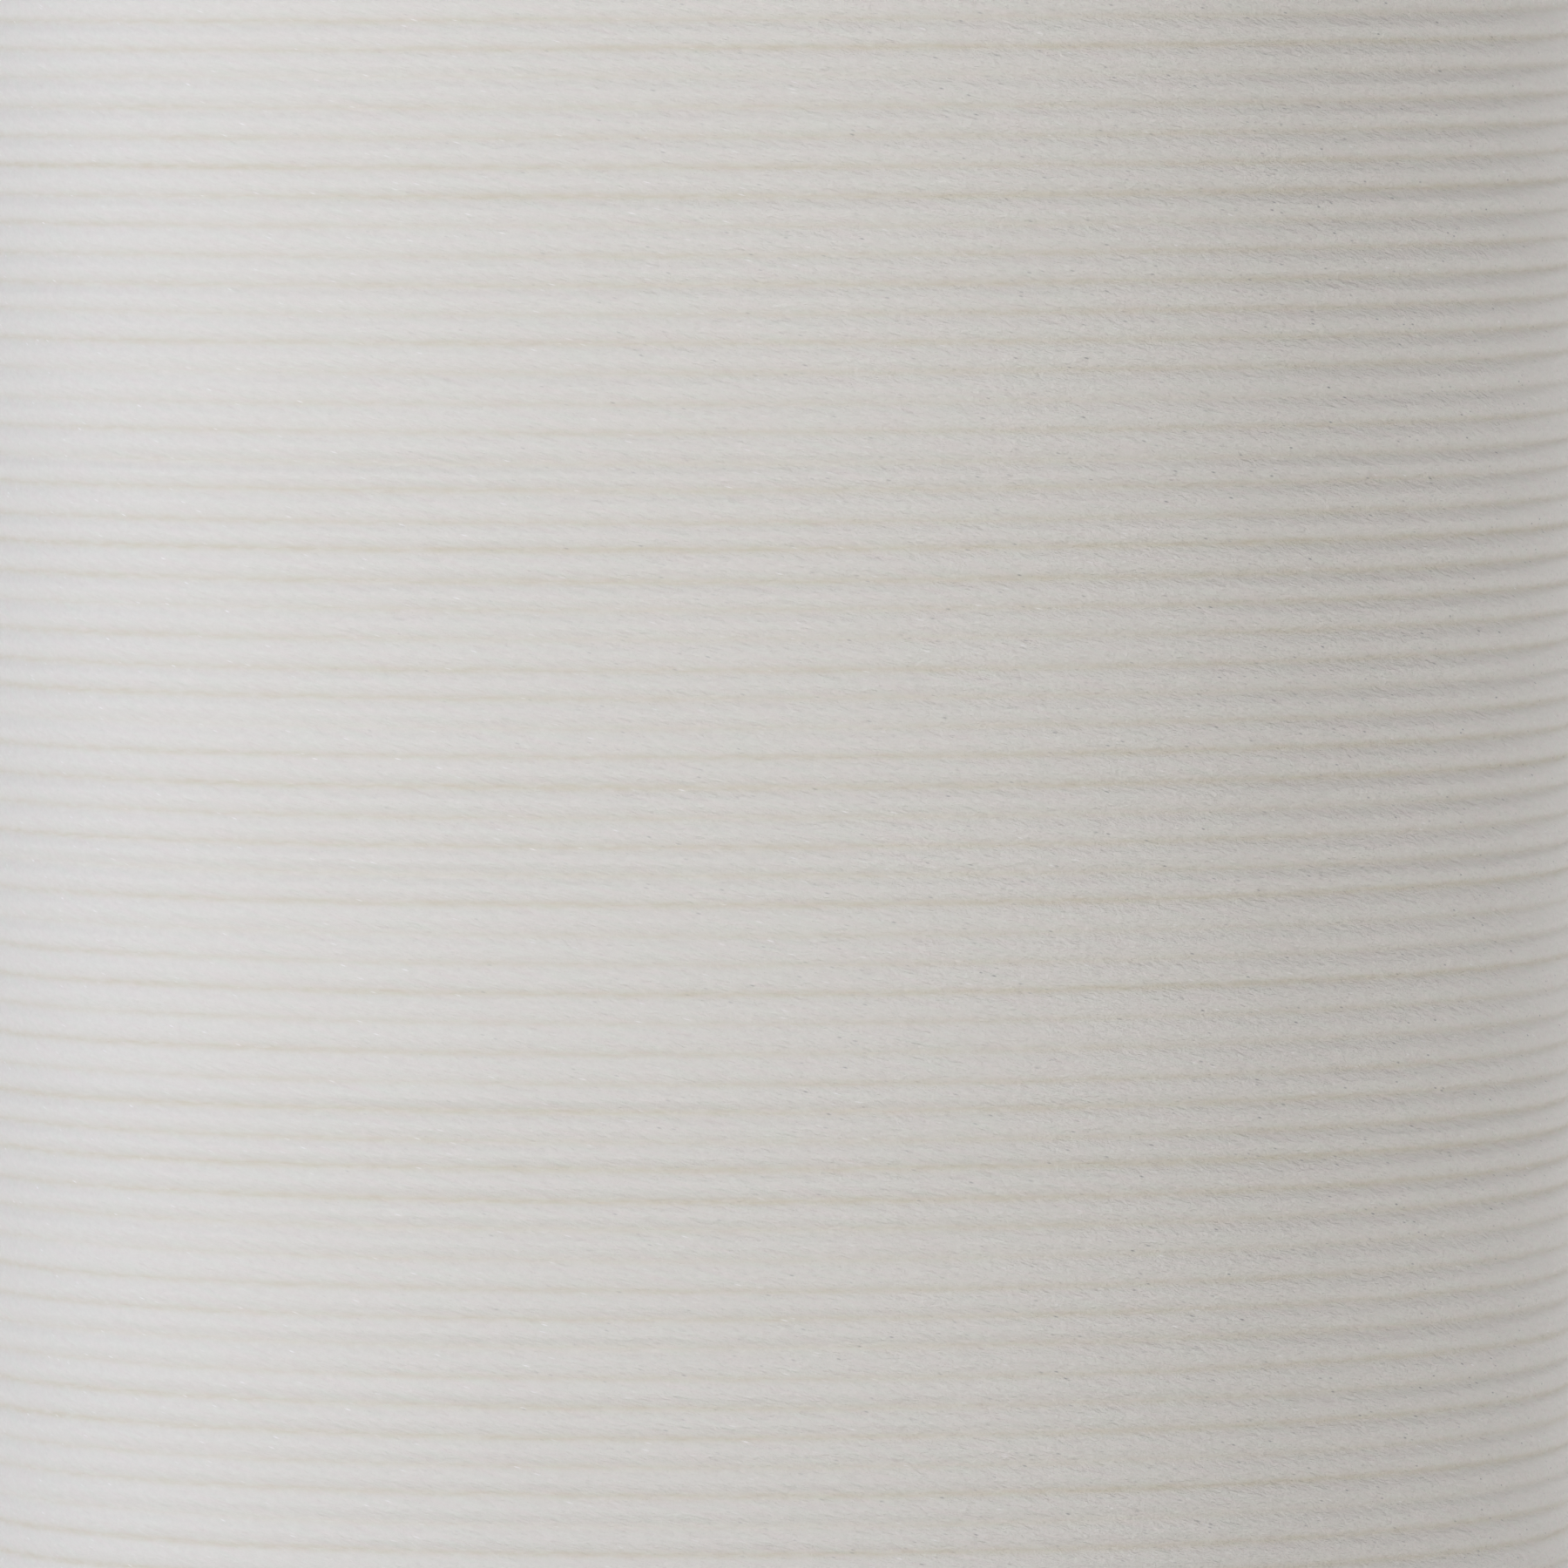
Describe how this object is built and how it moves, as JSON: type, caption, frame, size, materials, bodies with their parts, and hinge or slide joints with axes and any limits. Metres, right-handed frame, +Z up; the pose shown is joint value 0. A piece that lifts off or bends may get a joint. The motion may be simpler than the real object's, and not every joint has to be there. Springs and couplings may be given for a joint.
{
  "type": "waxed thread spool",
  "caption": "Cylindrical flanged spool wound full of flat waxed thread, on a snap base that lifts open to hold or free the thread's end.",
  "frame": {"origin": "centre of the snap base's underside, on the surface that the spool stands on", "axes": "+Z up along the spool's axis, from the snap base to the top flange; -Y is the side that is looked at"},
  "size_m": [0.068, 0.068, 0.107],
  "materials": {
    "core_tube": "matte",
    "flange_plastic": "moulded, lightly textured",
    "thread": "flat waxed multifilament, low sheen",
    "tape": "thin translucent adhesive strip",
    "label_paper": "matte"
  },
  "bodies": {
    "base": {"snap_base": "flange_plastic", "base_label": "label_paper"},
    "spool": {"core_tube": "core_tube", "top_flange": "flange_plastic", "bottom_flange": "flange_plastic", "thread_pack": "thread", "outer_turns": "thread", "thread_tail": "thread", "start_tape": "tape", "top_label": "label_paper"}
  },
  "joints": [
    {"name": "thread_lock_slide", "type": "slide", "parent": "base", "child": "spool", "axis": [0, 0, 1], "range_m": [0, 0.0025]}
  ]
}
